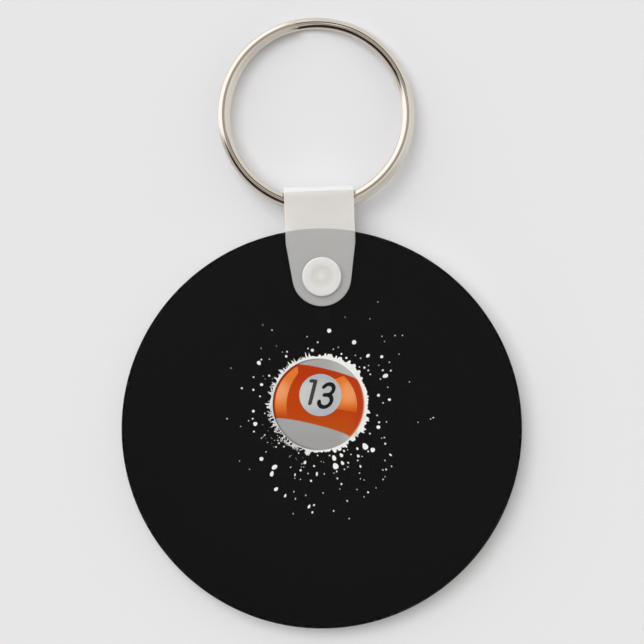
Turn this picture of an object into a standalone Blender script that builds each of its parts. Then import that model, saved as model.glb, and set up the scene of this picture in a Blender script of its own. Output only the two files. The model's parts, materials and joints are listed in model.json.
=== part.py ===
"""Key ring: a round laminated fob, a folded snap strap and a two-turn split ring.

The key ring lies on a table at Z = 0. It rests on the fob's far rim, on the
underside of the snap and on the far end of the split ring, so the fob leans a
little and the ring slopes back down to the table. The origin is on the table,
at the middle of the key ring's footprint.

Two empties carry the joints. strap_pivot stands in the fob's hole, on the
axis of the snap. ring_pivot lies across the strap's loop, along the line
about which the split ring swings.
"""
import math

import bmesh
import bpy
from mathutils import Vector

MM = 0.001

# Clearance between pieces that touch on the real key ring
GAP = 0.3 * MM

# Fob: four round layers, from the printed face to the back
FOB_RADIUS = 28.575 * MM
COVER_THICKNESS = 0.25 * MM
PRINT_THICKNESS = 0.25 * MM
CORE_THICKNESS = 1.4 * MM
BACK_THICKNESS = 0.25 * MM
FOB_THICKNESS = COVER_THICKNESS + PRINT_THICKNESS + CORE_THICKNESS + BACK_THICKNESS + 3 * GAP
FOB_HALF = FOB_THICKNESS / 2
HOLE_RADIUS = 1.6 * MM
SNAP_OFFSET = 21.8 * MM

# Strap: one strip folded over the fob's rim, both ends round about the snap
STRAP_THICKNESS = 0.5 * MM
STRAP_HALF_WIDTH = 4.95 * MM
STRAP_END_RADIUS = 4.2 * MM
STRAP_TAPER = math.radians(8.3)
STRAP_REACH = 12.85 * MM
FOLD_OUTER_RADIUS = 1.3 * MM
STRAP_INNER_HALF = FOB_HALF + GAP
STRAP_OUTER_HALF = STRAP_INNER_HALF + STRAP_THICKNESS

# Snap: a dished cap with a post, and the socket that grips the post's end
SNAP_RADIUS = 2.8 * MM
SNAP_BASE = STRAP_OUTER_HALF + GAP
CAP_HEIGHT = 0.92 * MM
SOCKET_HEIGHT = 0.82 * MM
SOCKET_BORE = 1.55 * MM
POST_RADIUS = 1.25 * MM
POST_SETBACK = 0.25 * MM
SNAP_FOOT = SNAP_BASE + SOCKET_HEIGHT

# Split ring: two turns of flat wire joined by a step
RING_MEAN_RADIUS = 13.2 * MM
WIRE_WIDTH = 1.68 * MM
WIRE_HEIGHT = 0.95 * MM
WIRE_ROUND = 0.3 * MM
TURN_GAP = 0.1 * MM
RING_HALF_HEIGHT = WIRE_HEIGHT + TURN_GAP / 2
CUT_ANGLE = math.radians(103)
STEP_ANGLE = math.radians(45)
END_GAP_ANGLE = math.radians(1.5)
LOWER_TURN_SHIFT = 0.15 * MM
LOWER_TURN_SHIFT_ANGLE = math.radians(-50)
RING_CENTRE_REACH = 23.26 * MM
HINGE_INSET = 0.5 * MM
HINGE_TO_CENTRE = RING_MEAN_RADIUS - HINGE_INSET

# How the key ring lies on the table
STRAP_TURN = math.radians(2.1)
SUPPORT_SPAN = FOB_RADIUS + SNAP_OFFSET - SNAP_RADIUS
FOB_LEAN = math.atan2(SNAP_FOOT - FOB_HALF, SUPPORT_SPAN)
FOB_HEIGHT = FOB_RADIUS * math.sin(FOB_LEAN) + FOB_HALF * math.cos(FOB_LEAN)
HINGE_REACH = RING_CENTRE_REACH - HINGE_TO_CENTRE
HINGE_Y = SNAP_OFFSET + HINGE_REACH * math.cos(STRAP_TURN)
HINGE_HEIGHT = FOB_HEIGHT + HINGE_Y * math.sin(FOB_LEAN)
RING_REACH = HINGE_TO_CENTRE + RING_MEAN_RADIUS + WIRE_WIDTH / 2
RING_SLOPE = math.asin((HINGE_HEIGHT - RING_HALF_HEIGHT) / RING_REACH)
RING_DROOP = RING_SLOPE + FOB_LEAN
FAR_RING_Y = HINGE_Y * math.cos(FOB_LEAN) + RING_REACH * math.cos(RING_SLOPE)
NEAR_RIM_Y = -FOB_RADIUS * math.cos(FOB_LEAN) - FOB_HALF * math.sin(FOB_LEAN)
FOOTPRINT_MIDDLE = (FAR_RING_Y + NEAR_RIM_Y) / 2

# Smoothness of the round shapes
RIM_SEGMENTS = 144
HOLE_SEGMENTS = 40
SNAP_SEGMENTS = 48
CORNER_STEPS = 6
END_STEPS = 28
WIRE_CORNER_STEPS = 3
STEPS_PER_TURN = 72
SMOOTH_LIMIT = math.radians(35)


def remove_everything():
    for obj in list(bpy.data.objects):
        bpy.data.objects.remove(obj, do_unlink=True)


def make_material(name, colour, roughness, metallic=0.0, alpha=1.0):
    material = bpy.data.materials.new(name)
    material.use_nodes = True
    shader = material.node_tree.nodes["Principled BSDF"]
    shader.inputs["Base Color"].default_value = (*colour, 1.0)
    shader.inputs["Roughness"].default_value = roughness
    shader.inputs["Metallic"].default_value = metallic
    shader.inputs["Alpha"].default_value = alpha
    return material


def make_empty(name, parent, location, rotation):
    empty = bpy.data.objects.new(name, None)
    empty.empty_display_size = 5 * MM
    empty.parent = parent
    empty.location = location
    empty.rotation_euler = rotation
    bpy.context.collection.objects.link(empty)
    return empty


def make_object(name, mesh_builder, parent, material):
    """Turn a filled bmesh into a named, smooth-shaded object under its parent."""
    bmesh.ops.recalc_face_normals(mesh_builder, faces=mesh_builder.faces)
    mesh = bpy.data.meshes.new(name)
    mesh_builder.to_mesh(mesh)
    mesh_builder.free()
    mesh.shade_smooth()
    mesh.set_sharp_from_angle(angle=SMOOTH_LIMIT)
    obj = bpy.data.objects.new(name, mesh)
    obj.parent = parent
    if material:
        mesh.materials.append(material)
    bpy.context.collection.objects.link(obj)
    return obj


def hide_as_guide(obj):
    obj.hide_render = True
    obj.display_type = 'WIRE'
    return obj


def add_boolean(obj, guide, operation):
    modifier = obj.modifiers.new(guide.name, 'BOOLEAN')
    modifier.operation = operation
    modifier.solver = 'EXACT'
    modifier.object = guide


def arc_points(centre, radius, start, end, steps):
    """Points of an arc in a plane, both ends included."""
    points = []
    for index in range(steps + 1):
        angle = start + (end - start) * index / steps
        x = centre[0] + radius * math.cos(angle)
        y = centre[1] + radius * math.sin(angle)
        points.append((x, y))
    return points


def extrude_outline(outline, to_point, travel):
    """Close an outline into a face and extrude it along travel into a prism."""
    builder = bmesh.new()
    ring = [builder.verts.new(to_point(*point)) for point in outline]
    face = builder.faces.new(ring)
    extruded = bmesh.ops.extrude_face_region(builder, geom=[face])
    moved = [item for item in extruded["geom"] if isinstance(item, bmesh.types.BMVert)]
    bmesh.ops.translate(builder, vec=travel, verts=moved)
    return builder


def turn_profile(profile, segments):
    """Spin a closed or axis-to-axis profile of (radius, height) about Z."""
    builder = bmesh.new()
    rows = []
    for radius, height in profile:
        if radius == 0:
            rows.append([builder.verts.new((0, 0, height))])
            continue
        row = []
        for index in range(segments):
            angle = 2 * math.pi * index / segments
            row.append(builder.verts.new((radius * math.cos(angle), radius * math.sin(angle), height)))
        rows.append(row)
    if profile[0][0] > 0:
        rows.append(rows[0])
    for lower, upper in zip(rows, rows[1:]):
        for index in range(segments):
            following = (index + 1) % segments
            corners = [lower[index % len(lower)], lower[following % len(lower)],
                       upper[following % len(upper)], upper[index % len(upper)]]
            builder.faces.new(list(dict.fromkeys(corners)))
    return builder


def cylinder_builder(radius, low, high, segments):
    return turn_profile([(0, low), (radius, low), (radius, high), (0, high)], segments)


def make_layers(fob, hole_guide):
    """Stack the fob's round layers downward from the printed face."""
    layers = [
        ("clear_cover", COVER_THICKNESS, make_material("clear_film", (0.9, 0.9, 0.9), 0.12, alpha=0.2)),
        ("printed_face", PRINT_THICKNESS, make_material("black_print", (0.01, 0.01, 0.01), 0.4)),
        ("core_disc", CORE_THICKNESS, make_material("white_core", (0.8, 0.8, 0.78), 0.5)),
        ("back_sheet", BACK_THICKNESS, make_material("white_back", (0.82, 0.82, 0.8), 0.4)),
    ]
    top = FOB_HALF
    for name, thickness, material in layers:
        builder = cylinder_builder(FOB_RADIUS, top - thickness, top, RIM_SEGMENTS)
        layer = make_object(name, builder, fob, material)
        add_boolean(layer, hole_guide, 'DIFFERENCE')
        top -= thickness + GAP


def strap_side_profile():
    """Outline of the folded strip seen from its edge: (along the strap, height)."""
    outer, inner = STRAP_OUTER_HALF, STRAP_INNER_HALF
    inner_radius = FOLD_OUTER_RADIUS - STRAP_THICKNESS
    bend = STRAP_REACH - FOLD_OUTER_RADIUS
    bend_height = outer - FOLD_OUTER_RADIUS
    tail = -STRAP_END_RADIUS - STRAP_THICKNESS
    quarter = math.pi / 2
    profile = [(tail, -outer)]
    profile += arc_points((bend, -bend_height), FOLD_OUTER_RADIUS, -quarter, 0, CORNER_STEPS)
    profile += arc_points((bend, bend_height), FOLD_OUTER_RADIUS, 0, quarter, CORNER_STEPS)
    profile += [(tail, outer), (tail, inner)]
    profile += arc_points((bend, bend_height), inner_radius, quarter, 0, CORNER_STEPS)
    profile += arc_points((bend, -bend_height), inner_radius, 0, -quarter, CORNER_STEPS)
    profile += [(tail, -inner)]
    return profile


def strap_plan_outline():
    """Outline of the strap seen from above: round end, taper, then straight sides."""
    right = arc_points((0, 0), STRAP_END_RADIUS, -math.pi + STRAP_TAPER, -STRAP_TAPER, END_STEPS)
    taper_start_x, taper_start_y = right[-1]
    taper_rise = (STRAP_HALF_WIDTH - taper_start_x) / math.tan(STRAP_TAPER)
    shoulder = taper_start_y + taper_rise
    beyond = STRAP_REACH + STRAP_THICKNESS
    right += [(STRAP_HALF_WIDTH, shoulder), (STRAP_HALF_WIDTH, beyond)]
    return right + [(-STRAP_HALF_WIDTH, beyond), (-STRAP_HALF_WIDTH, shoulder)]


def make_strap(strap_pivot, hole_guide):
    material = make_material("milky_plastic", (0.86, 0.86, 0.84), 0.35, alpha=0.7)
    margin = STRAP_HALF_WIDTH + STRAP_THICKNESS
    strip = extrude_outline(strap_side_profile(), lambda y, z: Vector((-margin, y, z)), Vector((2 * margin, 0, 0)))
    strap = make_object("strap", strip, strap_pivot, material)
    depth = STRAP_OUTER_HALF + STRAP_THICKNESS
    plan = extrude_outline(strap_plan_outline(), lambda x, y: Vector((x, y, -depth)), Vector((0, 0, 2 * depth)))
    plan_guide = hide_as_guide(make_object("strap_plan_guide", plan, strap_pivot, None))
    add_boolean(strap, plan_guide, 'INTERSECT')
    add_boolean(strap, hole_guide, 'DIFFERENCE')


def make_snap(strap_pivot):
    """The cap's post runs down through strap and fob into the socket's bore."""
    material = make_material("white_plastic", (0.78, 0.77, 0.74), 0.35)
    top = SNAP_BASE + CAP_HEIGHT
    dish = top - 0.28 * MM
    post_end = -SNAP_FOOT + POST_SETBACK
    cap_profile = [
        (0, top - 0.1 * MM),
        (0.3 * MM, top - 0.12 * MM),
        (0.55 * MM, dish),
        (1.5 * MM, dish),
        (2.05 * MM, top - 0.06 * MM),
        (2.35 * MM, top),
        (2.62 * MM, top - 0.07 * MM),
        (SNAP_RADIUS, top - 0.3 * MM),
        (SNAP_RADIUS, SNAP_BASE + 0.15 * MM),
        (2.65 * MM, SNAP_BASE),
        (POST_RADIUS, SNAP_BASE),
        (POST_RADIUS, post_end + 0.15 * MM),
        (1.1 * MM, post_end),
        (0, post_end),
    ]
    make_object("snap_cap", turn_profile(cap_profile, SNAP_SEGMENTS), strap_pivot, material)
    socket_profile = [
        (SOCKET_BORE, -SNAP_BASE),
        (SNAP_RADIUS - 0.15 * MM, -SNAP_BASE),
        (SNAP_RADIUS, -SNAP_BASE - 0.15 * MM),
        (SNAP_RADIUS, -SNAP_FOOT + 0.2 * MM),
        (SNAP_RADIUS - 0.2 * MM, -SNAP_FOOT),
        (SOCKET_BORE + 0.15 * MM, -SNAP_FOOT),
        (SOCKET_BORE, -SNAP_FOOT + 0.15 * MM),
    ]
    make_object("snap_socket", turn_profile(socket_profile, SNAP_SEGMENTS), strap_pivot, material)


def wire_section():
    """Rounded flat section of the ring's wire: (outward, upward) from its middle."""
    reach = WIRE_WIDTH / 2 - WIRE_ROUND
    rise = WIRE_HEIGHT / 2 - WIRE_ROUND
    section = []
    for quarter, (side, up) in enumerate([(1, 1), (-1, 1), (-1, -1), (1, -1)]):
        start = quarter * math.pi / 2
        corner = (side * reach, up * rise)
        section += arc_points(corner, WIRE_ROUND, start, start + math.pi / 2, WIRE_CORNER_STEPS)
    return section


def lower_share(angle_travelled):
    """0 on the upper turn, 1 on the lower turn, a smooth step between them."""
    step_start = 2 * math.pi - END_GAP_ANGLE - STEP_ANGLE
    share = min(max((angle_travelled - step_start) / STEP_ANGLE, 0), 1)
    return share * share * (3 - 2 * share)


def make_split_ring(ring_pivot):
    """Sweep the wire's section along both turns, from the upper cut end down."""
    material = make_material("nickel", (0.72, 0.68, 0.62), 0.18, metallic=1.0)
    total = 4 * math.pi - 2 * END_GAP_ANGLE - STEP_ANGLE
    steps = round(STEPS_PER_TURN * total / (2 * math.pi))
    level = (WIRE_HEIGHT + TURN_GAP) / 2
    shift = Vector((math.cos(LOWER_TURN_SHIFT_ANGLE), math.sin(LOWER_TURN_SHIFT_ANGLE), 0)) * LOWER_TURN_SHIFT
    section = wire_section()
    builder = bmesh.new()
    rows = []
    for index in range(steps + 1):
        travelled = total * index / steps
        share = lower_share(travelled)
        angle = CUT_ANGLE + travelled
        outward = Vector((math.cos(angle), math.sin(angle), 0))
        centre = Vector((0, HINGE_TO_CENTRE, level * (1 - 2 * share))) + shift * share
        row = []
        for out, up in section:
            row.append(builder.verts.new(centre + outward * (RING_MEAN_RADIUS + out) + Vector((0, 0, up))))
        rows.append(row)
    count = len(section)
    for row, following in zip(rows, rows[1:]):
        for index in range(count):
            turn = (index + 1) % count
            builder.faces.new([row[index], row[turn], following[turn], following[index]])
    builder.faces.new(rows[0])
    builder.faces.new(rows[-1])
    make_object("split_ring", builder, ring_pivot, material)


def main():
    remove_everything()
    fob = make_empty("lying_fob", None, (0, -FOOTPRINT_MIDDLE, FOB_HEIGHT), (FOB_LEAN, 0, 0))
    strap_pivot = make_empty("strap_pivot", fob, (0, SNAP_OFFSET, 0), (0, 0, STRAP_TURN))
    ring_pivot = make_empty("ring_pivot", strap_pivot, (0, HINGE_REACH, 0), (-RING_DROOP, 0, 0))
    hole = cylinder_builder(HOLE_RADIUS, -2 * STRAP_OUTER_HALF, 2 * STRAP_OUTER_HALF, HOLE_SEGMENTS)
    hole_guide = hide_as_guide(make_object("hole_guide", hole, strap_pivot, None))
    bpy.context.view_layer.update()
    make_layers(fob, hole_guide)
    make_strap(strap_pivot, hole_guide)
    make_snap(strap_pivot)
    make_split_ring(ring_pivot)


main()
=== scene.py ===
"""Key ring: the final looks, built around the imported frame.

Three bodies carry the pieces. The fob is a laminated disc with a printed ball
on black; the strap and its snap swing on the fob; the split ring swings in the
strap's loop. Each body's pieces are modelled in that body's own axes, which
come from the frame's joints and boxes.
"""
import json
import math
import random

import bmesh
import bpy
from mathutils import Matrix, Vector


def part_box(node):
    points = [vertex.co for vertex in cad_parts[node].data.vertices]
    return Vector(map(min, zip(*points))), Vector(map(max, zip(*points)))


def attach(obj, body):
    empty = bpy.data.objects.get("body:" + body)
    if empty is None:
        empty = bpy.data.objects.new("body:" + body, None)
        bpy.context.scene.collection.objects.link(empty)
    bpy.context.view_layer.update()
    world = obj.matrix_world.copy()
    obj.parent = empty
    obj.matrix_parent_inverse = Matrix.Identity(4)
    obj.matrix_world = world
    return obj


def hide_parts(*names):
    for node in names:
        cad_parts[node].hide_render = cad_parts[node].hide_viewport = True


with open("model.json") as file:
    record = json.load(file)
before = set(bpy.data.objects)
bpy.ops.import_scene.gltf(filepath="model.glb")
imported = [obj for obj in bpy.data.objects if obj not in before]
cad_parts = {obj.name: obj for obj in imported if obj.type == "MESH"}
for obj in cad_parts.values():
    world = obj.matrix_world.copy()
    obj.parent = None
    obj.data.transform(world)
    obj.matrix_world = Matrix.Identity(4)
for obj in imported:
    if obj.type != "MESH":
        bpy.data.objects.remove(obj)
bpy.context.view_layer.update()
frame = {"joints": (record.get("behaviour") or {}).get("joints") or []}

MM = 0.001

# Fob: layers from the back up, as heights above the fob's middle plane
FOB_HALF = 1.525 * MM
BACK_THICKNESS = 0.25 * MM
PRINT_LEVEL = 1.275 * MM
PRINT_THICKNESS = 0.25 * MM
COVER_GAP = 0.12 * MM
COVER_LAP = 0.3 * MM
RIM_ROUND = 0.08 * MM
RIM_STEPS = 4
DISC_SEGMENTS = 288
HOLE_RADIUS = 1.6 * MM
HOLE_SEGMENTS = 64

# Strap: flat strip folded round the loop, round at both ends
STRAP_THICKNESS = 0.5 * MM
STRAP_HALF_WIDTH = 4.95 * MM
STRAP_END_RADIUS = 4.2 * MM
STRAP_TAPER = math.radians(8.3)
STRAP_REACH = 12.85 * MM
STRAP_LEVEL = 2.075 * MM
FOLD_RADIUS = 1.05 * MM
STRAP_EDGE_ROUND = 0.14 * MM
STRAP_COLUMNS = 8
STRAP_END_STEPS = 28
STRAP_STRAIGHT_STEPS = 44

# Snap: cap and post above, socket below
SNAP_RADIUS = 2.8 * MM
CAP_BASE = 2.345 * MM
SNAP_FOOT = 3.445 * MM
CAP_HEIGHT = 0.45 * MM
SOCKET_BORE = 1.55 * MM
POST_RADIUS = 1.25 * MM
POST_SETBACK = 0.25 * MM
DISH_DEPTH = 0.12 * MM
CAP_ROUND = 0.25 * MM
SOCKET_ROUND = 0.3 * MM
SNAP_CHAMFER = 0.12 * MM
BORE_CHAMFER = 0.08 * MM
FOOT_GROOVE = 0.1 * MM
SNAP_SEGMENTS = 128

# Split ring: two turns of crowned wire
RING_DROOP = math.radians(8.711)
RING_MEAN_RADIUS = 13.2 * MM
HINGE_TO_CENTRE = 12.7 * MM
WIRE_WIDTH = 1.68 * MM
WIRE_HEIGHT = 0.95 * MM
WIRE_FLAT = 0.46 * MM
WIRE_EDGE_RISE = 0.13 * MM
WIRE_GROOVE = 0.12 * MM
GROOVE_LIP = 0.02 * MM
GROOVE_DEPTH = 0.06 * MM
CROWN_START = math.radians(24)
CROWN_END = math.radians(55)
CROWN_STEPS = 10
WIRE_EDGE_STEPS = 5
TURN_GAP = 0.1 * MM
CUT_ANGLE = math.radians(103)
STEP_ANGLE = math.radians(45)
END_GAP_ANGLE = math.radians(1.5)
LOWER_TURN_SHIFT = 0.15 * MM
LOWER_TURN_SHIFT_ANGLE = math.radians(-50)
CUT_TUCK = 0.14 * MM
CUT_TUCK_ANGLE = math.radians(60)
CUT_SLANT_ANGLE = math.radians(4)
STEPS_PER_TURN = 288

# Printed ball: a tilted stripe between two parallel cuts, seen straight on
BALL_CENTRE = Vector((-0.46, 3.55, 0)) * MM
BALL_RADIUS = 6.55 * MM
STRIPE_AXIS = Vector((0.238, 0.965, -0.11)).normalized()
STRIPE_TOP = 4.69 * MM
STRIPE_BOTTOM = -3.53 * MM
NUMBER_CENTRE = Vector((0.26, 1.33, 0)) * MM
NUMBER_RADIUS = 3.01 * MM
DIGIT_STROKE = 0.55 * MM
DIGIT_LEAN = 0.25
INK = 0.02 * MM
INK_ROUGHNESS = 0.3
INK_SHINE = 0.1

# Paint splatter, worked out in millimetres
SPLATTER_SEED = 13
RIM_POINTS = 1800
DROP_POINTS = 18
DROP_TRIES = 30
DROP_SPACING = 0.04
TWIG_JOINTS = 4

# Studio
FRAME_WIDTH = 91.89 * MM
FRAME_CENTRE = (0.03 * MM, 0.1 * MM)
FRAME_LEVEL = 4 * MM
LENS = 200
SENSOR = 36
FLOOR_HALF = 4.0
KEY_AZIMUTH = math.radians(135)
KEY_ELEVATION = math.radians(65)
KEY_ENERGY = 1.3
KEY_WIDTH = math.radians(42)
BRIGHT_AZIMUTH = math.radians(142)
FILL_AZIMUTH = math.radians(45)
DARK_AZIMUTH = math.radians(233)
SURROUND_STRENGTH = 0.533


# ---------------------------------------------------------------- body axes

def axes(origin, x_axis, z_axis):
    """Matrix of an axis system with that Z and an X as near x_axis as it can be."""
    z = Vector(z_axis).normalized()
    x = Vector(x_axis)
    x = (x - z * x.dot(z)).normalized()
    rotation = Matrix((x, z.cross(x), z)).transposed()
    return Matrix.Translation(origin) @ rotation.to_4x4()


def joint(name):
    """The frame's entry for a joint."""
    return next(entry for entry in frame["joints"] if entry["name"] == name)


def fob_middle(snap_point, normal):
    """The disc's centre, on the fob's middle plane."""
    low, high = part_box("core_disc")
    middle = (low + high) / 2
    return middle - normal * (middle - snap_point).dot(normal)


SNAP_POINT = Vector(joint("strap_swing")["pos_m"])
FOB_NORMAL = Vector(joint("strap_swing")["axis"])
LOOP_POINT = Vector(joint("ring_swing")["pos_m"])
LOOP_AXIS = Vector(joint("ring_swing")["axis"])
FOB_AXES = axes(fob_middle(SNAP_POINT, FOB_NORMAL), (1, 0, 0), FOB_NORMAL)
STRAP_AXES = axes(SNAP_POINT, LOOP_AXIS, FOB_NORMAL)
RING_AXES = axes(LOOP_POINT, LOOP_AXIS, FOB_NORMAL) @ Matrix.Rotation(-RING_DROOP, 4, 'X')
BALL_AXES = FOB_AXES @ Matrix.Translation(BALL_CENTRE + Vector((0, 0, PRINT_LEVEL)))


def fob_radius():
    """The core disc's radius, from the frame."""
    low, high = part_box("core_disc")
    return (high.x - low.x) / 2


def polar(radius, angle):
    """X and Y of the point at that distance and direction from the origin."""
    return radius * math.cos(angle), radius * math.sin(angle)


# ---------------------------------------------------------------- materials

def srgb(red, green, blue):
    """Linear colour of a display colour given in 0 to 255."""
    channels = []
    for value in (red, green, blue):
        level = value / 255
        channels.append(level / 12.92 if level <= 0.04045 else ((level + 0.055) / 1.055) ** 2.4)
    return (*channels, 1.0)


class Surface:
    """A material with a Principled shader, and short calls that add its nodes."""

    def __init__(self, name, colour, roughness, **settings):
        self.material = bpy.data.materials.new(name)
        self.material.use_nodes = True
        self.tree = self.material.node_tree
        self.shader = self.tree.nodes["Principled BSDF"]
        self.shader.inputs["Base Color"].default_value = colour
        self.shader.inputs["Roughness"].default_value = roughness
        for socket, value in settings.items():
            self.shader.inputs[socket.replace("_", " ")].default_value = value
        self.place = self.tree.nodes.new("ShaderNodeTexCoord").outputs["Object"]

    def feed(self, socket, value):
        if isinstance(value, bpy.types.NodeSocket):
            self.tree.links.new(value, socket)
        else:
            socket.default_value = value

    def math(self, operation, first, second=0.0):
        """Result of one Math node on one or two values or sockets."""
        node = self.tree.nodes.new("ShaderNodeMath")
        node.operation = operation
        self.feed(node.inputs[0], first)
        self.feed(node.inputs[1], second)
        return node.outputs[0]

    def position(self):
        """X, Y and Z in the piece's own axes, in millimetres."""
        scaled = self.tree.nodes.new("ShaderNodeVectorMath")
        scaled.operation = 'SCALE'
        scaled.inputs["Scale"].default_value = 1 / MM
        self.feed(scaled.inputs[0], self.place)
        split = self.tree.nodes.new("ShaderNodeSeparateXYZ")
        self.feed(split.inputs[0], scaled.outputs[0])
        return split.outputs[0], split.outputs[1], split.outputs[2]

    def distance(self, x, y, centre=(0.0, 0.0)):
        """Distance of the point x, y from a centre."""
        across = self.math('SUBTRACT', x, centre[0])
        along = self.math('SUBTRACT', y, centre[1])
        across_squared = self.math('MULTIPLY', across, across)
        along_squared = self.math('MULTIPLY', along, along)
        return self.math('SQRT', self.math('ADD', across_squared, along_squared))

    def fade(self, value, start, end, low=0.0, high=1.0):
        """Goes smoothly from low to high as value goes from start to end."""
        node = self.tree.nodes.new("ShaderNodeMapRange")
        node.interpolation_type = 'SMOOTHSTEP'
        for socket, number in zip(node.inputs, (value, start, end, low, high)):
            self.feed(socket, number)
        return node.outputs[0]

    def mix(self, share, first, second):
        """The first colour at share 0, the second at share 1."""
        node = self.tree.nodes.new("ShaderNodeMix")
        node.data_type = 'RGBA'
        self.feed(node.inputs[0], share)
        self.feed(node.inputs[6], first)
        self.feed(node.inputs[7], second)
        return node.outputs[2]

    def noise(self, per_mm, detail=3.0, stretch=(1, 1, 1), source=None):
        """Grain of about that many spots to the millimetre."""
        mapping = self.tree.nodes.new("ShaderNodeMapping")
        mapping.inputs["Scale"].default_value = [per_mm * share / MM for share in stretch]
        self.feed(mapping.inputs["Vector"], source or self.place)
        node = self.tree.nodes.new("ShaderNodeTexNoise")
        node.inputs["Scale"].default_value = 1.0
        node.inputs["Detail"].default_value = detail
        self.feed(node.inputs["Vector"], mapping.outputs[0])
        return node.outputs[0]

    def colour(self, value):
        self.feed(self.shader.inputs["Base Color"], value)

    def roughness(self, value):
        self.feed(self.shader.inputs["Roughness"], value)

    def bump(self, height, depth):
        """Raises the surface by up to depth where height is 1."""
        node = self.tree.nodes.new("ShaderNodeBump")
        node.inputs["Distance"].default_value = depth
        self.feed(node.inputs["Height"], height)
        self.feed(self.shader.inputs["Normal"], node.outputs[0])


def ink_surface(name, colour):
    """Printed ink: half matt, with a weak highlight."""
    return Surface(name, colour, INK_ROUGHNESS, Specular_IOR_Level=INK_SHINE)


def film_material():
    """Clear film: it adds little but its own gloss."""
    surface = Surface("clear_cover_film", srgb(12, 12, 12), 0.16, Alpha=0.04)
    surface.roughness(surface.fade(surface.noise(1.2), 0.3, 0.7, 0.15, 0.18))
    return surface.material


def black_print_material():
    """Satin black ink with the faint orange peel of a laminated sheet."""
    surface = ink_surface("satin_black_ink", srgb(13, 13, 13))
    grain = surface.noise(3.0, detail=4.0)
    surface.colour(surface.mix(grain, srgb(13, 13, 14), srgb(14, 14, 15)))
    surface.roughness(surface.fade(grain, 0.3, 0.7, 0.3, 0.34))
    surface.bump(grain, 0.0005 * MM)
    return surface.material


def board_material(name, tint, roughness):
    """White sheet plastic with a trace of colour cloud and a fine tooth."""
    surface = Surface(name, tint, roughness)
    cloud = surface.noise(0.35, detail=2.0)
    surface.colour(surface.mix(cloud, tint, [channel * 0.93 for channel in tint[:3]] + [1.0]))
    surface.bump(surface.noise(6.0), 0.006 * MM)
    return surface.material


def paint_material():
    """White paint with a trace of cloud."""
    surface = Surface("white_paint_ink", srgb(254, 254, 253), INK_ROUGHNESS, Specular_IOR_Level=0.3)
    surface.colour(surface.mix(surface.noise(2.0), srgb(255, 255, 255), srgb(252, 252, 250)))
    return surface.material


def ball_grey_material():
    """The ball's two pale caps, cooler towards the stripe and the right."""
    surface = ink_surface("ball_cap_ink", srgb(165, 165, 165))
    x, y, _ = surface.position()
    low = surface.mix(surface.fade(y, -5.6, -2.6), srgb(169, 169, 168), srgb(174, 174, 175))
    low = surface.mix(surface.fade(x, 2.6, 4.8), low, srgb(188, 191, 192))
    high = surface.mix(surface.fade(x, -3.0, -0.2), srgb(180, 186, 188), srgb(178, 175, 173))
    high = surface.mix(surface.fade(x, 0.6, 4.0), high, srgb(192, 196, 196))
    caps = surface.mix(surface.fade(y, 0.0, 1.0), low, high)
    edge = surface.fade(surface.distance(x, y), 6.2, 6.5)
    left = surface.fade(x, 1.0, -3.0)
    surface.colour(surface.mix(surface.math('MULTIPLY', edge, left), caps, srgb(122, 122, 124)))
    return surface.material


def orange_at(surface):
    """X, Y and the stripe's own colour there, before any highlight."""
    x, y, _ = surface.position()
    colour = surface.mix(surface.fade(y, 4.8, 1.5), srgb(190, 58, 12), srgb(198, 69, 10))
    colour = surface.mix(surface.fade(y, -0.6, -3.6), colour, srgb(196, 82, 18))
    colour = surface.mix(surface.fade(x, 4.2, 5.8), colour, srgb(192, 64, 24))
    return x, y, colour


def ball_orange_material():
    """The stripe, darker along the ball's left edge and lit along its right edge."""
    surface = ink_surface("ball_orange_ink", srgb(197, 70, 20))
    x, y, colour = orange_at(surface)
    edge = surface.distance(x, y)
    left = surface.math('MULTIPLY', surface.fade(edge, 6.28, 6.42), surface.fade(x, -1.5, -3.5))
    colour = surface.mix(left, colour, srgb(122, 46, 22))
    right = surface.math('MULTIPLY', surface.fade(edge, 6.3, 6.52), surface.fade(x, 3.2, 5.0))
    right = surface.math('MULTIPLY', right, surface.fade(y, 3.6, 0.2))
    colour = surface.mix(right, colour, srgb(244, 178, 136))
    surface.colour(colour)
    return surface.material


def glint_material(name, bright, warm, centre, reach, fade_from, fade_to):
    """A window's reflection: bright round a centre, melting into the stripe below."""
    surface = ink_surface(name, warm)
    x, y, orange = orange_at(surface)
    glow = surface.mix(surface.fade(surface.distance(x, y, centre), 0.4, reach), bright, warm)
    surface.colour(surface.mix(surface.fade(y, fade_from, fade_to), glow, orange))
    return surface.material


def number_disc_material():
    """Pale grey, cooler at the right, the top and the bottom."""
    surface = ink_surface("number_disc_ink", srgb(208, 208, 208))
    x, y, _ = surface.position()
    middle = (NUMBER_CENTRE.x / MM, NUMBER_CENTRE.y / MM)
    edge = surface.distance(x, y, middle)
    colour = surface.mix(surface.fade(x, -1.8, 1.9), srgb(214, 214, 213), srgb(196, 199, 201))
    colour = surface.mix(surface.fade(y, 2.6, 4.2), colour, srgb(182, 191, 196))
    colour = surface.mix(surface.fade(y, 0.4, -1.5), colour, srgb(186, 192, 200))
    colour = surface.mix(surface.fade(edge, 2.72, 3.0, 0.0, 0.4), colour, srgb(196, 206, 214))
    surface.colour(colour)
    return surface.material


def digit_material(name, shade):
    """Digit ink with a slightly uneven shade."""
    surface = ink_surface(name, shade)
    lighter = [channel * 1.25 for channel in shade[:3]] + [1.0]
    surface.colour(surface.mix(surface.noise(1.5), shade, lighter))
    return surface.material


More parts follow.
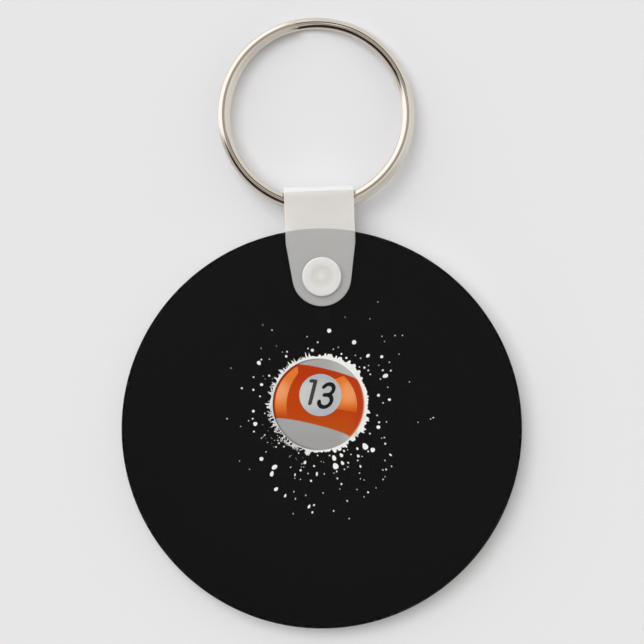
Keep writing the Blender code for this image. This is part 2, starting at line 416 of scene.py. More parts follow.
def milky_material():
    """Translucent strap plastic: cloudy. Past the fob's edge it is denser, and paler and warmer as
    painted light over the floor; along the fold it is denser, and whiter as a painted highlight.
    """
    surface = Surface("milky_strap_plastic", srgb(243, 241, 237), 0.34, Alpha=0.36,
                      Subsurface_Weight=0.6, Subsurface_Scale=1.0 * MM, Subsurface_Radius=(1, 1, 1))
    x, y, _ = surface.position()
    middle = (STRAP_AXES.inverted() @ FOB_AXES).translation / MM
    radius = fob_radius() / MM
    loop = surface.fade(surface.distance(x, y, middle.xy), radius + 0.02, radius + 0.16)
    reach = STRAP_REACH / MM
    # Painted highlight: a whiter band along the fold's bend, which is also made denser.
    fold_highlight_band = surface.fade(y, reach - 1.1, reach - 0.5)
    side = STRAP_HALF_WIDTH / MM
    edge = surface.fade(surface.math('ABSOLUTE', x), side - 0.25, side - 0.1)
    cloud = surface.noise(0.3, detail=3.0, stretch=(0.6, 1, 1))
    # Painted light: paler and warmer where the strap lies past the fob's edge, over the floor rather
    # than the black disc.
    colour = surface.mix(loop, srgb(237, 238, 238), srgb(250, 247, 243))
    colour = surface.mix(surface.fade(cloud, 0.3, 0.7, 0.0, 0.4), colour, srgb(234, 232, 229))
    surface.colour(surface.mix(fold_highlight_band, colour, srgb(246, 247, 248)))
    density = surface.fade(loop, 0.0, 1.0, 0.38, 0.58)
    density = surface.math('MAXIMUM', density, surface.math('MULTIPLY', fold_highlight_band, 0.85))
    # Painted highlight: along the side edges past the fob's edge the plastic is made denser, so they
    # show as light lines.
    edge = surface.math('MULTIPLY', edge, loop)
    density = surface.math('MAXIMUM', density, surface.math('MULTIPLY', edge, 0.75))
    surface.feed(surface.shader.inputs["Alpha"], density)
    surface.roughness(surface.fade(surface.noise(5.0, stretch=(3, 0.6, 1)), 0.35, 0.65, 0.28, 0.42))
    surface.bump(surface.noise(1.6, detail=4.0), 0.008 * MM)
    return surface.material


def snap_material():
    """White snap plastic, greyed in the cap's dish by painted shade."""
    surface = Surface("white_snap_plastic", srgb(226, 225, 222), 0.36, Subsurface_Weight=0.6,
                      Subsurface_Scale=0.6 * MM, Subsurface_Radius=(1, 1, 1))
    x, y, _ = surface.position()
    out = surface.distance(x, y)
    cloud = surface.noise(0.8, detail=2.0)
    colour = surface.mix(cloud, srgb(227, 227, 226), srgb(222, 221, 219))
    # Painted shade: the cap's hollow dish is made greyer.
    dish = surface.math('MULTIPLY', surface.fade(out, 1.75, 1.45), surface.fade(out, 0.25, 0.7))
    surface.colour(surface.mix(dish, colour, srgb(219, 217, 213)))
    surface.bump(surface.noise(4.0, detail=3.0), 0.01 * MM)
    return surface.material


def nickel_material():
    """Polished nickel: fine lines drawn along the wire, and a painted darker reflection on the flat
    down its middle.
    """
    bright, fair, dim = (0.82, 0.77, 0.7, 1.0), (0.75, 0.69, 0.625, 1.0), (0.62, 0.555, 0.495, 1.0)
    surface = Surface("polished_nickel", (0.75, 0.695, 0.625, 1.0), 0.14, Metallic=1.0)
    along = surface.tree.nodes.new("ShaderNodeUVMap")
    along.uv_map = "wire"
    split = surface.tree.nodes.new("ShaderNodeSeparateXYZ")
    surface.feed(split.inputs[0], along.outputs[0])
    off_middle = surface.math('ABSOLUTE', split.outputs[1])
    off_middle = surface.math('MULTIPLY', off_middle, WIRE_WIDTH / MM)
    half_flat = WIRE_FLAT / MM / 2
    # Painted reflection: the flat down the wire's middle is given a darker colour, streaked by the
    # drawn lines.
    flat = surface.fade(off_middle, half_flat + 0.02, half_flat - 0.02)
    lines = surface.noise(0.004, detail=1.0, stretch=(1, 3, 1), source=along.outputs[0])
    flat_reflection_and_lines = surface.mix(surface.fade(lines, 0.4, 0.6), dim, fair)
    surface.colour(surface.mix(flat, bright, flat_reflection_and_lines))
    surface.roughness(surface.fade(surface.noise(1.0), 0.35, 0.7, 0.08, 0.16))
    surface.bump(lines, 0.001 * MM)
    return surface.material


# ---------------------------------------------------------------- mesh help

def add_piece(name, builder, place, material, body, stands_for=(), sharp=40):
    """Turn a bmesh into a piece that rides a body and stands for CAD nodes.

    Edges sharper than that angle in degrees stay crisp in the shading.
    """
    bmesh.ops.remove_doubles(builder, verts=builder.verts, dist=1e-7)
    bmesh.ops.recalc_face_normals(builder, faces=builder.faces)
    mesh = bpy.data.meshes.new(name)
    builder.to_mesh(mesh)
    builder.free()
    mesh.shade_smooth()
    mesh.set_sharp_from_angle(angle=math.radians(sharp))
    piece = bpy.data.objects.new(name, mesh)
    piece.matrix_world = place
    bpy.context.scene.collection.objects.link(piece)
    mesh.materials.append(material)
    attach(piece, body)
    if stands_for:
        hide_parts(*stands_for)
    return piece


def apply_boolean(piece, builder, place, operation):
    """Cut a tool out of a piece, or join it on, for good."""
    tool_mesh = bpy.data.meshes.new("tool")
    bmesh.ops.recalc_face_normals(builder, faces=builder.faces)
    builder.to_mesh(tool_mesh)
    builder.free()
    tool = bpy.data.objects.new("tool", tool_mesh)
    tool.matrix_world = place
    bpy.context.scene.collection.objects.link(tool)
    modifier = piece.modifiers.new("boolean", 'BOOLEAN')
    modifier.operation = operation
    modifier.solver = 'EXACT'
    modifier.object = tool
    bpy.context.view_layer.update()
    evaluated = piece.evaluated_get(bpy.context.evaluated_depsgraph_get())
    result = bpy.data.meshes.new_from_object(evaluated)
    piece.modifiers.clear()
    old = piece.data
    piece.data = result
    bpy.data.meshes.remove(old)
    bpy.data.objects.remove(tool)


def turned(profile, segments):
    """Spin a profile of (radius, height), from axis to axis or closed, about Z."""
    builder = bmesh.new()
    rows = []
    for radius, height in profile:
        count = 1 if radius == 0 else segments
        row = []
        for index in range(count):
            angle = 2 * math.pi * index / count
            row.append(builder.verts.new((*polar(radius, angle), height)))
        rows.append(row)
    if profile[0][0] > 0:
        rows.append(rows[0])
    for lower, upper in zip(rows, rows[1:]):
        for index in range(segments):
            following = (index + 1) % segments
            corners = [lower[index % len(lower)], lower[following % len(lower)],
                       upper[following % len(upper)], upper[index % len(upper)]]
            builder.faces.new(list(dict.fromkeys(corners)))
    return builder


def arc(centre, radius, start, end, steps):
    """Points of an arc in a plane, both ends included, angles in degrees."""
    points = []
    for index in range(steps + 1):
        x, y = polar(radius, math.radians(start + (end - start) * index / steps))
        points.append((centre[0] + x, centre[1] + y))
    return points


def add_plate(builder, outline, low, high):
    """Add a flat plate with that outline between two heights."""
    bottom = [builder.verts.new((x, y, low)) for x, y in outline]
    top = [builder.verts.new((x, y, high)) for x, y in outline]
    builder.faces.new(bottom)
    builder.faces.new(top)
    for index in range(len(outline)):
        following = (index + 1) % len(outline)
        builder.faces.new([bottom[index], bottom[following], top[following], top[index]])


def plate(outline, low, high):
    """A bmesh with one flat plate in it."""
    builder = bmesh.new()
    add_plate(builder, outline, low, high)
    return builder


# ---------------------------------------------------------------- fob

def disc_profile(radius, low, high):
    """Solid disc whose two rims are slightly rounded."""
    inner = radius - RIM_ROUND
    profile = [(0, low), (inner / 2, low)]
    profile += arc((inner, low + RIM_ROUND), RIM_ROUND, -90, 0, RIM_STEPS)
    profile += arc((inner, high - RIM_ROUND), RIM_ROUND, 0, 90, RIM_STEPS)
    profile += [(inner / 2, high), (0, high)]
    return profile


def snap_hole():
    """Tool for the hole that the snap's post runs through."""
    reach = 4 * MM
    outline = [(0, -reach), (HOLE_RADIUS, -reach), (HOLE_RADIUS, reach), (0, reach)]
    return turned(outline, HOLE_SEGMENTS)


def cover_profile(radius):
    """Film that rests on the print at its rim and leaves a thin gap over the inks."""
    floor, inner = PRINT_LEVEL + COVER_GAP, radius - COVER_LAP
    profile = [(0, floor), (inner, floor), (inner, PRINT_LEVEL), (radius, PRINT_LEVEL)]
    profile += arc((radius - RIM_ROUND, FOB_HALF - RIM_ROUND), RIM_ROUND, 0, 90, RIM_STEPS)
    profile += [(radius / 2, FOB_HALF), (0, FOB_HALF)]
    return profile


def make_fob():
    """Four bonded layers, from the back up, with the post's hole through all of them."""
    radius = fob_radius()
    back_top = -FOB_HALF + BACK_THICKNESS
    print_bottom = PRINT_LEVEL - PRINT_THICKNESS
    layers = [
        ("fob_back_sheet", "white_back", "back_sheet",
         disc_profile(radius, -FOB_HALF, back_top),
         board_material("glossy_back_sheet", srgb(232, 232, 229), 0.3)),
        ("fob_core", "white_core", "core_disc",
         disc_profile(radius, back_top, print_bottom),
         board_material("white_core_board", srgb(228, 228, 224), 0.5)),
        ("fob_printed_face", "black_print", "printed_face",
         disc_profile(radius, print_bottom, PRINT_LEVEL),
         black_print_material()),
        ("fob_clear_cover", "clear_film", "clear_cover",
         cover_profile(radius),
         film_material()),
    ]
    for name, slot, node, profile, material in layers:
        layer = add_piece(name, turned(profile, DISC_SEGMENTS), FOB_AXES, material,
                          "fob", [node])
        apply_boolean(layer, snap_hole(), STRAP_AXES, 'DIFFERENCE')


# ---------------------------------------------------------------- printed ball

def circle(centre, radius, steps=180):
    """That many points evenly round a circle, the first not repeated."""
    return arc(centre, radius, 0, 360 * (steps - 1) / steps, steps - 1)


def stripe_edge(offset, steps=60):
    """Front half of the cut at that offset along the stripe's axis, left to right."""
    centre = STRIPE_AXIS * offset
    radius = math.sqrt(BALL_RADIUS ** 2 - offset ** 2)
    across = Vector((STRIPE_AXIS.y, -STRIPE_AXIS.x, 0)).normalized()
    front = across.cross(STRIPE_AXIS).normalized()
    if front.z < 0:
        front = -front
    lift = centre.z / (radius * front.z)
    hidden = math.asin(min(max(-lift, -1), 1))
    points = []
    for index in range(steps + 1):
        angle = math.pi - hidden - (math.pi - 2 * hidden) * index / steps
        point = centre + across * radius * math.cos(angle) + front * radius * math.sin(angle)
        points.append((point.x, point.y))
    return points


def rim_between(first, last, steps=40):
    """The ball's outline from one of its points to another, the short way round."""
    start = math.degrees(math.atan2(first[1], first[0]))
    sweep = math.degrees(math.atan2(last[1], last[0])) - start
    sweep = (sweep + 180) % 360 - 180
    return arc((0, 0), BALL_RADIUS, start, start + sweep, steps)


def stripe_outline():
    """The stripe's two edges, joined by the ball's outline at the right and the left."""
    top = stripe_edge(STRIPE_TOP)
    bottom = stripe_edge(STRIPE_BOTTOM)
    right = rim_between(top[-1], bottom[-1])
    left = rim_between(bottom[0], top[0])
    return top + right[1:-1] + bottom[::-1] + left[1:-1]


def left_window_outline():
    """Between the ball's left rim and a flatter arc on its right."""
    outer = arc((0, 0), 6.2 * MM, 119, 197, 40)
    inner = arc((3.0 * MM, -0.3 * MM), 7.58 * MM, 191, 141, 30)
    return outer + inner


def right_window_outline():
    """Between the number disc and the ball's right rim."""
    outer = arc((-0.5 * MM, -0.3 * MM), 6.0 * MM, -8, 39, 30)
    top = [(3.6 * MM, 4.09 * MM)]
    inner = arc(NUMBER_CENTRE.xy, NUMBER_RADIUS - 0.05 * MM, 49, -42, 40)
    return outer + top + inner


def stroke(centreline, width):
    """Outline of a round-ended stroke drawn along a centreline."""
    half = width / 2
    points = [Vector(point) for point in centreline]
    left, right = [], []
    for index, point in enumerate(points):
        before = points[max(index - 1, 0)]
        after = points[min(index + 1, len(points) - 1)]
        along = (after - before).normalized()
        aside = Vector((-along.y, along.x)) * half
        left.append(tuple(point + aside))
        right.append(tuple(point - aside))

    def cap(point, towards):
        heading = math.degrees(math.atan2(towards.y, towards.x))
        return arc(point, half, heading + 90, heading - 90, 10)[1:-1]

    end_cap = cap(points[-1], points[-1] - points[-2])
    start_cap = cap(points[0], points[0] - points[1])
    return left + end_cap + right[::-1] + start_cap


def lean(outline):
    """Slant an upright outline about the number disc's centre."""
    return [(x + DIGIT_LEAN * (y - NUMBER_CENTRE.y), y) for x, y in outline]


def scaled(points):
    """Points given in millimetres, in the scene's metres."""
    return [(x * MM, y * MM) for x, y in points]


def make_digits(low):
    """A plain 1 and a plain 3, each from two strokes, the 1 paler as if in the light."""
    dark = digit_material("number_ink", srgb(26, 28, 29))
    grey = digit_material("number_ink_in_light", srgb(66, 66, 67))
    stem = [(-0.93, 0.16), (-0.93, 1.2), (-0.93, 2.2), (-0.93, 3.28)]
    flag = [(-1.56, 3.36), (-1.25, 3.36), (-0.93, 3.3)]
    upper = arc((1.165, 2.13), 0.77, 152, -90, 30) + [(0.84, 1.36)]
    lower = arc((1.165, 0.49), 0.87, 90, -175, 36)

    def stroke_plate(centreline, width):
        return plate(lean(stroke(scaled(centreline), width)), low, low + INK)

    one = add_piece("digit_1", stroke_plate(stem, DIGIT_STROKE), BALL_AXES, grey,
                    "fob")
    apply_boolean(one, stroke_plate(flag, DIGIT_STROKE * 0.9), BALL_AXES, 'UNION')
    three = add_piece("digit_3", stroke_plate(upper, DIGIT_STROKE), BALL_AXES, dark,
                      "fob")
    apply_boolean(three, stroke_plate(lower, DIGIT_STROKE), BALL_AXES, 'UNION')


def make_ball_print():
    """Flat inks, one on another: caps, stripe, window glints, number disc, digits."""
    left_glint = glint_material("ball_left_glint", srgb(250, 166, 112), srgb(236, 128, 52),
                                (-5.6, 1.9), 2.4, 0.2, -2.2)
    right_glint = glint_material("ball_right_glint", srgb(252, 162, 100), srgb(238, 126, 46),
                                 (4.3, 1.6), 2.4, 0.4, -1.9)
    inks = [
        (1, "ball_caps", circle((0, 0), BALL_RADIUS), ball_grey_material()),
        (2, "ball_stripe", stripe_outline(), ball_orange_material()),
        (3, "ball_left_window", left_window_outline(), left_glint),
        (3, "ball_right_window", right_window_outline(), right_glint),
        (4, "number_disc", circle(NUMBER_CENTRE.xy, NUMBER_RADIUS), number_disc_material()),
    ]
    for layer, name, outline, material in inks:
        builder = plate(outline, layer * INK, (layer + 1) * INK)
        add_piece(name, builder, BALL_AXES, material, "fob")
    make_digits(5 * INK)


# ---------------------------------------------------------------- splatter

# Width of the paint's rim round the ball: (direction in degrees, millimetres)
RIM_MARGINS = [
    (0, 0.45), (15, 0.5), (30, 0.5), (45, 0.85), (60, 0.65), (75, 0.4), (95, 0.32), (115, 0.3),
    (135, 0.25), (150, 0.22), (165, 0.3), (180, 0.35), (192, 0.15), (200, 0.05), (215, 0.02),
    (235, 0.06), (255, 0.12), (270, 0.22), (290, 0.12), (310, 0.25), (330, 0.45), (345, 0.4),
    (360, 0.45),
]

# Bumps on that rim: (from, to in degrees, how many, narrowest, widest in degrees,
# tallest in mm, sharpness)
RIM_BUMPS = [
    (100, 200, 60, 0.5, 1.6, 0.9, 1.6),
    (200, 255, 16, 0.5, 1.4, 0.6, 1.4),
    (255, 345, 34, 1.0, 3.2, 0.8, 0.6),
    (-20, 100, 30, 1.0, 3.2, 0.6, 0.6),
    (-45, -15, 12, 0.8, 2.0, 1.2, 1.2),
]

# Fine twigs: (from, to in degrees, how many, longest in mm)
TWIG_FIELDS = [(105, 150, 12, 0.9), (150, 200, 26, 1.3), (200, 262, 34, 1.2), (290, 345, 8, 0.9)]

# Drops: (from, to in degrees, nearest, farthest in mm, how many, smallest, largest radius
# in mm, longest stretch)
DROP_FIELDS = [
    (-30, 50, 7.9, 10.5, 18, 0.08, 0.38, 1.5),
    (-30, 50, 10.0, 14.5, 9, 0.06, 0.24, 1.3),
    (50, 110, 7.6, 10.8, 11, 0.07, 0.42, 1.2),
    (110, 200, 7.5, 10.5, 18, 0.04, 0.3, 1.4),
    (110, 205, 10.0, 14.0, 10, 0.06, 0.16, 1.3),
    (200, 255, 7.0, 9.2, 36, 0.03, 0.12, 1.4),
    (205, 250, 9.0, 14.5, 10, 0.06, 0.34, 1.9),
    (250, 330, 7.3, 10.2, 26, 0.05, 0.4, 1.5),
    (245, 335, 9.8, 13.6, 26, 0.06, 0.17, 2.4),
    (255, 320, 12.6, 17.0, 15, 0.06, 0.17, 2.6),
    (-60, 75, 12.6, 17.0, 9, 0.06, 0.11, 1.3),
]


def rim_margin(degrees):
    """Width of the rim in one direction, eased between the listed widths."""
    for (start, low), (end, high) in zip(RIM_MARGINS, RIM_MARGINS[1:]):
        if start <= degrees <= end:
            share = (degrees - start) / (end - start)
            return low + (high - low) * (1 - math.cos(math.pi * share)) / 2


def random_bumps(chance):
    """(direction, width in degrees, height in mm, sharpness) of each bump, most of them low."""
    bumps = []
    for start, end, count, narrow, wide, tallest, sharpness in RIM_BUMPS:
        for _ in range(count):
            height = tallest * (0.15 + 0.85 * chance.random() ** 2.2)
            centre = chance.uniform(start, end) % 360
            bumps.append((centre, chance.uniform(narrow, wide), height, sharpness))
    return bumps


def splatter_radius(degrees, bumps):
    """Reach of the paint in one direction from the ball's centre, in millimetres."""
    tallest = 0
    for centre, width, height, sharpness in bumps:
        off = abs((degrees - centre + 180) % 360 - 180) / width
        if off < 1:
            tallest = max(tallest, height * (1 - off * off) ** sharpness)
    wobble = 0.05 * math.sin(math.radians(degrees * 23))
    wobble += 0.04 * math.sin(math.radians(degrees * 41 + 50))
    return BALL_RADIUS / MM + rim_margin(degrees) + wobble + tallest


def drop_outline(centre, radius, stretch, heading, tail):
    """A drop that is drawn out along its heading, with a tail towards the ball."""
    points = []
    for index in range(DROP_POINTS):
        angle = 2 * math.pi * index / DROP_POINTS
        along = math.cos(angle) * radius * stretch
        across = math.sin(angle) * radius * (1 + tail * math.cos(angle))
        x = centre[0] + along * math.cos(heading) - across * math.sin(heading)
        y = centre[1] + along * math.sin(heading) + across * math.cos(heading)
        points.append((x * MM, y * MM))
    return points


def add_twigs(builder, chance):
    """Thin crooked threads of paint at the rim."""
    for start, end, count, longest in TWIG_FIELDS:
        for _ in range(count):
            degrees = chance.uniform(start, end)
            at = Vector(polar(1, math.radians(degrees))) * (BALL_RADIUS / MM)
            heading = math.radians(degrees + chance.uniform(-60, 60))
            width = chance.uniform(0.05, 0.11)
            points = [at * 0.98, at]
            for _ in range(TWIG_JOINTS):
                step = Vector(polar(1, heading)) * longest / TWIG_JOINTS
                at = at + step * chance.uniform(0.4, 1)
                points.append(at)
                heading += chance.uniform(-0.9, 0.9)
            add_plate(builder, stroke([point * MM for point in points], width * MM), 0, INK)


def add_drop(builder, chance, bumps, placed, field):
    """One drop of a field, where it is clear of the rim and of the drops before it."""
    start, end, near, far, small, large, longest = field
    for _ in range(DROP_TRIES):
        degrees = chance.uniform(start, end)
        distance = near + (far - near) * chance.random() ** 1.3
        radius = small + (large - small) * chance.random() ** 2.4
        stretch = 1 + (longest - 1) * chance.random() ** 1.5
        reach = radius * stretch + DROP_SPACING
        centre = polar(distance, math.radians(degrees))
        nearby = [splatter_radius((degrees + turn) % 360, bumps) for turn in (-3, -1, 0, 1, 3)]
        apart = all(math.dist(centre, other) > reach + gap for other, gap in placed)
        if distance - reach > max(nearby) and apart:
            placed.append((centre, reach))
            heading = math.radians(degrees + chance.uniform(-22, 22))
            tail = chance.uniform(0, 0.35)
            add_plate(builder, drop_outline(centre, radius, stretch, heading, tail), 0, INK)
            return


def make_splatter():
    """White paint: a ragged rim round the ball and loose drops thrown outwards."""
    chance = random.Random(SPLATTER_SEED)
    bumps = random_bumps(chance)
    rim = []
    for index in range(RIM_POINTS):
        degrees = 360 * index / RIM_POINTS
        rim.append(polar(splatter_radius(degrees, bumps) * MM, math.radians(degrees)))
    builder = plate(rim, 0, INK)
    add_twigs(builder, chance)
    placed = []
    for start, end, near, far, count, small, large, longest in DROP_FIELDS:
        for _ in range(count):
            add_drop(builder, chance, bumps, placed, (start, end, near, far, small, large, longest))
    add_piece("paint_splatter", builder, BALL_AXES, paint_material(), "fob")


# ---------------------------------------------------------------- strap and snap

# Along the strip from the snap: the straight leg, then a quarter turn, then the fold's flat
LEG = STRAP_REACH - STRAP_THICKNESS / 2 - FOLD_RADIUS
QUARTER_TURN = FOLD_RADIUS * math.pi / 2
STRIP_HALF_LENGTH = LEG + QUARTER_TURN + STRAP_LEVEL - FOLD_RADIUS


def strap_half_outline(inset):
    """(distance from the snap, half width) down one half of the flat strip, shrunk by inset."""
    radius = STRAP_END_RADIUS - inset
    points = arc((0, 0), radius, 180, 90 + math.degrees(STRAP_TAPER), STRAP_END_STEPS)
    shoulder_width = STRAP_HALF_WIDTH - inset
    start_along, start_aside = points[-1]
    rise = (shoulder_width - start_aside) / math.tan(STRAP_TAPER)
    shoulder = start_along + rise
    for share in (1 / 3, 2 / 3):
        widening = rise * share * math.tan(STRAP_TAPER)
        points.append((start_along + rise * share, start_aside + widening))
    points.append((shoulder, shoulder_width))
    straight = STRIP_HALF_LENGTH - shoulder
    for index in range(1, STRAP_STRAIGHT_STEPS + 1):
        along = shoulder + straight * index / STRAP_STRAIGHT_STEPS
        points.append((along, shoulder_width))
    return points


def folded(x, along, height):
    """Place of a point of the upper half strip: along it from the snap, height off its middle."""
    bend_level = STRAP_LEVEL - FOLD_RADIUS
    if along <= LEG:
        return Vector((x, along, STRAP_LEVEL + height))
    reach = FOLD_RADIUS + height
    if along <= LEG + QUARTER_TURN:
        angle = math.pi / 2 - (along - LEG) / FOLD_RADIUS
        return Vector((x, LEG + reach * math.cos(angle), bend_level + reach * math.sin(angle)))
    return Vector((x, LEG + reach, bend_level - (along - LEG - QUARTER_TURN)))


def strap_rows():
    """Closed sections of the upper half strip, from its round end to the fold's middle."""
    half = STRAP_THICKNESS / 2
    levels = []
    for out, up in arc((0, half - STRAP_EDGE_ROUND), STRAP_EDGE_ROUND, 90, 0, 4):
        levels.append((STRAP_EDGE_ROUND - out, up))
    levels += [(inset, -height) for inset, height in reversed(levels)]
    outlines = [strap_half_outline(inset) for inset, _ in levels]
    across = [2 * column / STRAP_COLUMNS - 1 for column in range(1, STRAP_COLUMNS)]
    rows = []
    for station in range(len(outlines[0])):
        row = []
        along, width = outlines[0][station]
        for share in across:
            row.append(folded(width * share, along, half))
        for outline, (_, height) in zip(outlines, levels):
            row.append(folded(outline[station][1], outline[station][0], height))
        along, width = outlines[-1][station]
        for share in across:
            row.append(folded(-width * share, along, -half))
        for outline, (_, height) in zip(reversed(outlines), reversed(levels)):
            row.append(folded(-outline[station][1], outline[station][0], height))
        rows.append(row)
    return rows


def make_strap():
    """One strip: the upper half, and the same half mirrored below it."""
    upper = strap_rows()
    lower = [[Vector((point.x, point.y, -point.z)) for point in row] for row in reversed(upper[:-1])]
    builder = bmesh.new()
    rows = [[builder.verts.new(point) for point in row] for row in upper + lower]
    for row, following in zip(rows, rows[1:]):
        for index in range(len(row)):
            turn = (index + 1) % len(row)
            builder.faces.new([row[index], row[turn], following[turn], following[index]])
    strap = add_piece("snap_strap", builder, STRAP_AXES, milky_material(),
                      "strap_and_snap", ["strap"])
    apply_boolean(strap, snap_hole(), STRAP_AXES, 'DIFFERENCE')


def cap_profile():
    """Cap with a shallow dish round a small raised middle, and the post below it."""
    top = CAP_BASE + CAP_HEIGHT
    dish = top - DISH_DEPTH
    post_end = -SNAP_FOOT + POST_SETBACK
    profile = [(0, top - 0.05 * MM), (0.25 * MM, top - 0.06 * MM), (0.5 * MM, top - 0.1 * MM),
               (0.75 * MM, dish), (1.1 * MM, dish), (1.4 * MM, dish + 0.03 * MM),
               (1.65 * MM, top - 0.03 * MM), (1.9 * MM, top)]
    profile += arc((SNAP_RADIUS - CAP_ROUND, top - CAP_ROUND), CAP_ROUND, 90, 0, 8)
    profile += [(SNAP_RADIUS, CAP_BASE + SNAP_CHAMFER), (2.7 * MM, CAP_BASE + 0.01 * MM),
                (2.6 * MM, CAP_BASE), (POST_RADIUS + SNAP_CHAMFER, CAP_BASE),
                (POST_RADIUS, CAP_BASE - SNAP_CHAMFER), (POST_RADIUS, post_end + 0.2 * MM),
                (POST_RADIUS - 0.06 * MM, post_end + 0.06 * MM),
                (POST_RADIUS - 0.2 * MM, post_end), (0, post_end)]
    return profile


def socket_profile():
    """Round socket with a bore for the post and a shallow groove in its foot."""
    foot, rise = -SNAP_FOOT, -SNAP_FOOT + FOOT_GROOVE
    profile = [(SOCKET_BORE, -CAP_BASE - BORE_CHAMFER), (SOCKET_BORE + BORE_CHAMFER, -CAP_BASE),
               (SNAP_RADIUS - SNAP_CHAMFER, -CAP_BASE), (SNAP_RADIUS, -CAP_BASE - SNAP_CHAMFER)]
    profile += arc((SNAP_RADIUS - SOCKET_ROUND, foot + SOCKET_ROUND), SOCKET_ROUND, 0, -90, 6)
    profile += [(2.15 * MM, foot), (2.05 * MM, rise), (1.85 * MM, rise), (1.75 * MM, foot),
                (SOCKET_BORE + BORE_CHAMFER, foot), (SOCKET_BORE, foot + BORE_CHAMFER)]
    return profile


def make_snap():
    """A dished cap whose post runs down into a round socket."""
    material = snap_material()
    for name, profile, node in (("snap_cap_dished", cap_profile(), "snap_cap"),
                                ("snap_socket_ring", socket_profile(), "snap_socket")):
        add_piece(name, turned(profile, SNAP_SEGMENTS), STRAP_AXES, material,
                  "strap_and_snap", [node])


# ---------------------------------------------------------------- split ring

def wire_section():
    """Crowned section, flat in the middle of each face: (outward, upward)."""
    half_width, half_height, flat = WIRE_WIDTH / 2, WIRE_HEIGHT / 2, WIRE_FLAT / 2
    edge_radius = WIRE_EDGE_RISE / math.cos(CROWN_END)
    edge_reach = edge_radius * (1 - math.sin(CROWN_END))
    crown_reach = half_width - edge_reach - flat
    crown_radius = crown_reach / (math.sin(CROWN_END) - math.sin(CROWN_START))
    fall = half_height - WIRE_EDGE_RISE
    crown_fall = crown_radius * (math.cos(CROWN_START) - math.cos(CROWN_END))
    quarter = [(0, half_height), (flat - WIRE_GROOVE - GROOVE_LIP, half_height),
               (flat - WIRE_GROOVE, half_height - GROOVE_DEPTH)]
    for index in range(CROWN_STEPS + 1):
        tilt = CROWN_START + (CROWN_END - CROWN_START) * index / CROWN_STEPS
        out = flat + crown_radius * (math.sin(tilt) - math.sin(CROWN_START))
        down = crown_radius * (math.cos(CROWN_START) - math.cos(tilt)) * fall / crown_fall
        quarter.append((out, half_height - down))
    for index in range(1, WIRE_EDGE_STEPS + 1):
        tilt = CROWN_END + (math.pi / 2 - CROWN_END) * index / WIRE_EDGE_STEPS
        out = half_width - edge_radius * (1 - math.sin(tilt))
        quarter.append((out, edge_radius * math.cos(tilt)))
    right = quarter + [(out, -up) for out, up in reversed(quarter[:-1])]
    left = [(-out, up) for out, up in reversed(right[1:-1])]
    return right + left


def lower_share(travelled):
    """0 on the upper turn, 1 on the lower turn, a smooth step between them."""
    start = 2 * math.pi - END_GAP_ANGLE - STEP_ANGLE
    share = min(max((travelled - start) / STEP_ANGLE, 0), 1)
    return share * share * (3 - 2 * share)


def near_cut(angle, reach):
    """1 at the cut, fading smoothly to 0 at that angle from it."""
    off = abs((angle - CUT_ANGLE + math.pi) % (2 * math.pi) - math.pi) / reach
    return (1 - off * off) ** 2 if off < 1 else 0


def ring_rows(section, total, steps):
    """The wire's section at even steps along its two turns, in the ring's own axes."""
    level = (WIRE_HEIGHT + TURN_GAP) / 2
    shift = Vector((*polar(1, LOWER_TURN_SHIFT_ANGLE), 0)) * LOWER_TURN_SHIFT
    rows = []
    for index in range(steps + 1):
        travelled = total * index / steps
        share = lower_share(travelled)
        angle = CUT_ANGLE + travelled
        tuck = near_cut(angle, CUT_TUCK_ANGLE)
        centre = Vector((0, HINGE_TO_CENTRE, level * (1 - 2 * share))) + shift * share * (1 - tuck)
        radius = RING_MEAN_RADIUS + CUT_TUCK * tuck * share
        slant = CUT_SLANT_ANGLE * max(1 - travelled / CUT_TUCK_ANGLE, 0) ** 2
        row = []
        for out, up in section:
            aside = angle + slant * out / WIRE_WIDTH * 2
            outward = Vector((*polar(1, aside), 0))
            row.append(centre + outward * (radius + out) + Vector((0, 0, up)))
        rows.append(row)
    return rows


def make_split_ring():
    """Two turns of wire with a step between them, from the cut end round to the other end."""
    total = 4 * math.pi - 2 * END_GAP_ANGLE - STEP_ANGLE
    steps = round(STEPS_PER_TURN * total / (2 * math.pi))
    section = wire_section()
    builder = bmesh.new()
    uv = builder.loops.layers.uv.new("wire")
    rows = [[builder.verts.new(point) for point in row]
            for row in ring_rows(section, total, steps)]
    count = len(section)
    for step, (row, following) in enumerate(zip(rows, rows[1:])):
        for index in range(count):
            turn = (index + 1) % count
            face = builder.faces.new([row[index], row[turn], following[turn], following[index]])
            corners = [(step, index), (step, turn), (step + 1, turn), (step + 1, index)]
            for loop, (along, around) in zip(face.loops, corners):
                loop[uv].uv = (along / STEPS_PER_TURN, section[around][0] / WIRE_WIDTH)
    builder.faces.new(rows[0])
    builder.faces.new(rows[-1])
    add_piece("nickel_split_ring", builder, RING_AXES, nickel_material(),
              "ring", ["split_ring"], sharp=12)


# ---------------------------------------------------------------- studio

def make_floor():
    """Plain matt floor under the key ring."""
    builder = bmesh.new()
    bmesh.ops.create_grid(builder, x_segments=1, y_segments=1, size=FLOOR_HALF)
    mesh = bpy.data.meshes.new("floor")
    builder.to_mesh(mesh)
    builder.free()
    floor = bpy.data.objects.new("floor", mesh)
    bpy.context.scene.collection.objects.link(floor)
    surface = Surface("pale_floor", srgb(230.5, 231, 234), 1.0, Specular_IOR_Level=0.0)
    mesh.materials.append(surface.material)


def make_key_light():
    """Broad soft light from the upper left."""
    light = bpy.data.lights.new("key", 'SUN')
    light.energy = KEY_ENERGY
    light.angle = KEY_WIDTH
    key = bpy.data.objects.new("key", light)
    towards = Vector((*polar(math.cos(KEY_ELEVATION), KEY_AZIMUTH), math.sin(KEY_ELEVATION)))
    key.rotation_euler = towards.to_track_quat('Z', 'Y').to_euler()
    key.visible_glossy = False
    bpy.context.scene.collection.objects.link(key)


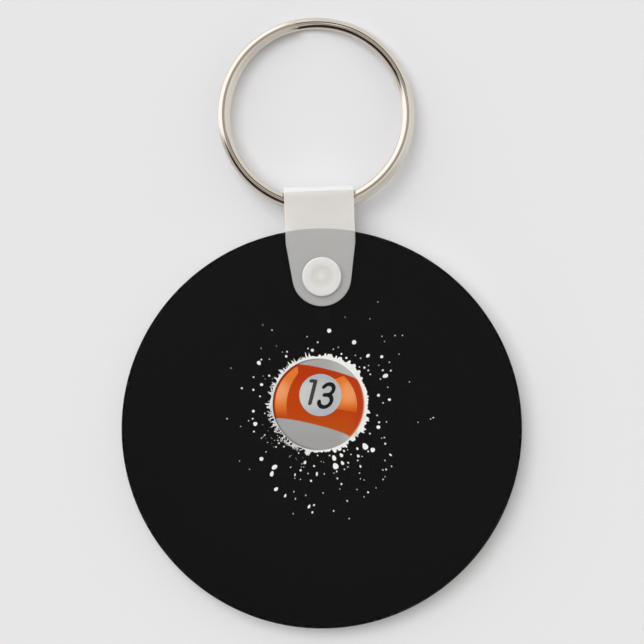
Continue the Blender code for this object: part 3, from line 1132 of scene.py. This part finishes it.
def make_surroundings():
    """Studio by direction: bright at the upper left, half bright at the upper right.

    It is dark at the lower left, from about 30 degrees up, and white below the horizon.
    """
    world = bpy.data.worlds.new("studio")
    world.use_nodes = True
    bpy.context.scene.world = world
    tree = world.node_tree
    direction = tree.nodes.new("ShaderNodeTexCoord").outputs["Generated"]
    split = tree.nodes.new("ShaderNodeSeparateXYZ")
    tree.links.new(direction, split.inputs[0])
    level = tree.nodes.new("ShaderNodeVectorMath")
    level.operation = 'MULTIPLY'
    level.inputs[1].default_value = (1, 1, 0)
    tree.links.new(direction, level.inputs[0])
    heading = tree.nodes.new("ShaderNodeVectorMath")
    heading.operation = 'NORMALIZE'
    tree.links.new(level.outputs[0], heading.inputs[0])

    def fade(value, start, end):
        node = tree.nodes.new("ShaderNodeMapRange")
        node.interpolation_type = 'SMOOTHSTEP'
        tree.links.new(value, node.inputs[0])
        node.inputs[1].default_value = start
        node.inputs[2].default_value = end
        return node.outputs[0]

    def facing(azimuth, outer, inner):
        """1 within inner degrees of an azimuth, 0 beyond outer degrees."""
        node = tree.nodes.new("ShaderNodeVectorMath")
        node.operation = 'DOT_PRODUCT'
        tree.links.new(heading.outputs[0], node.inputs[0])
        node.inputs[1].default_value = (*polar(1, azimuth), 0)
        far, near = math.cos(math.radians(outer)), math.cos(math.radians(inner))
        return fade(node.outputs["Value"], far, near)

    def mix(share, first, second):
        node = tree.nodes.new("ShaderNodeMix")
        node.data_type = 'RGBA'
        tree.links.new(share, node.inputs[0])
        for socket, value in ((node.inputs[6], first), (node.inputs[7], second)):
            if isinstance(value, bpy.types.NodeSocket):
                tree.links.new(value, socket)
            else:
                socket.default_value = (*value, 1.0)
        return node.outputs[2]

    wall, fill, bright = (1.05, 1.04, 1.0), (1.45, 1.43, 1.38), (2.35, 2.31, 2.28)
    dark, ceiling, ground = (0.06, 0.037, 0.028), (0.95, 0.9, 0.85), (1.0, 1.0, 1.0)
    height = split.outputs[2]  # the sine of the angle above the horizon
    sides = mix(facing(FILL_AZIMUTH, 80, 40), wall, fill)
    sides = mix(facing(BRIGHT_AZIMUTH, 44, 32), sides, bright)
    shade = mix(facing(DARK_AZIMUTH, 60, 50), sides, dark)
    sides = mix(fade(height, 0.5, 0.62), sides, shade)
    upper = mix(fade(height, 0.86, 0.92), sides, ceiling)
    whole = mix(fade(height, 0.04, -0.04), upper, ground)
    background = tree.nodes["Background"]
    tree.links.new(whole, background.inputs["Color"])
    background.inputs["Strength"].default_value = SURROUND_STRENGTH


def make_camera():
    """Long lens straight above the key ring."""
    data = bpy.data.cameras.new("camera")
    data.lens = LENS
    data.sensor_width = SENSOR
    data.clip_start = 0.01
    data.clip_end = 20
    camera = bpy.data.objects.new("camera", data)
    camera.location = (*FRAME_CENTRE, FRAME_LEVEL + FRAME_WIDTH * LENS / SENSOR)
    bpy.context.scene.collection.objects.link(camera)
    bpy.context.scene.camera = camera
    bpy.context.scene.view_settings.view_transform = 'Standard'


make_camera()
make_floor()
make_key_light()
make_surroundings()
make_fob()
make_splatter()
make_ball_print()
make_strap()
make_snap()
make_split_ring()
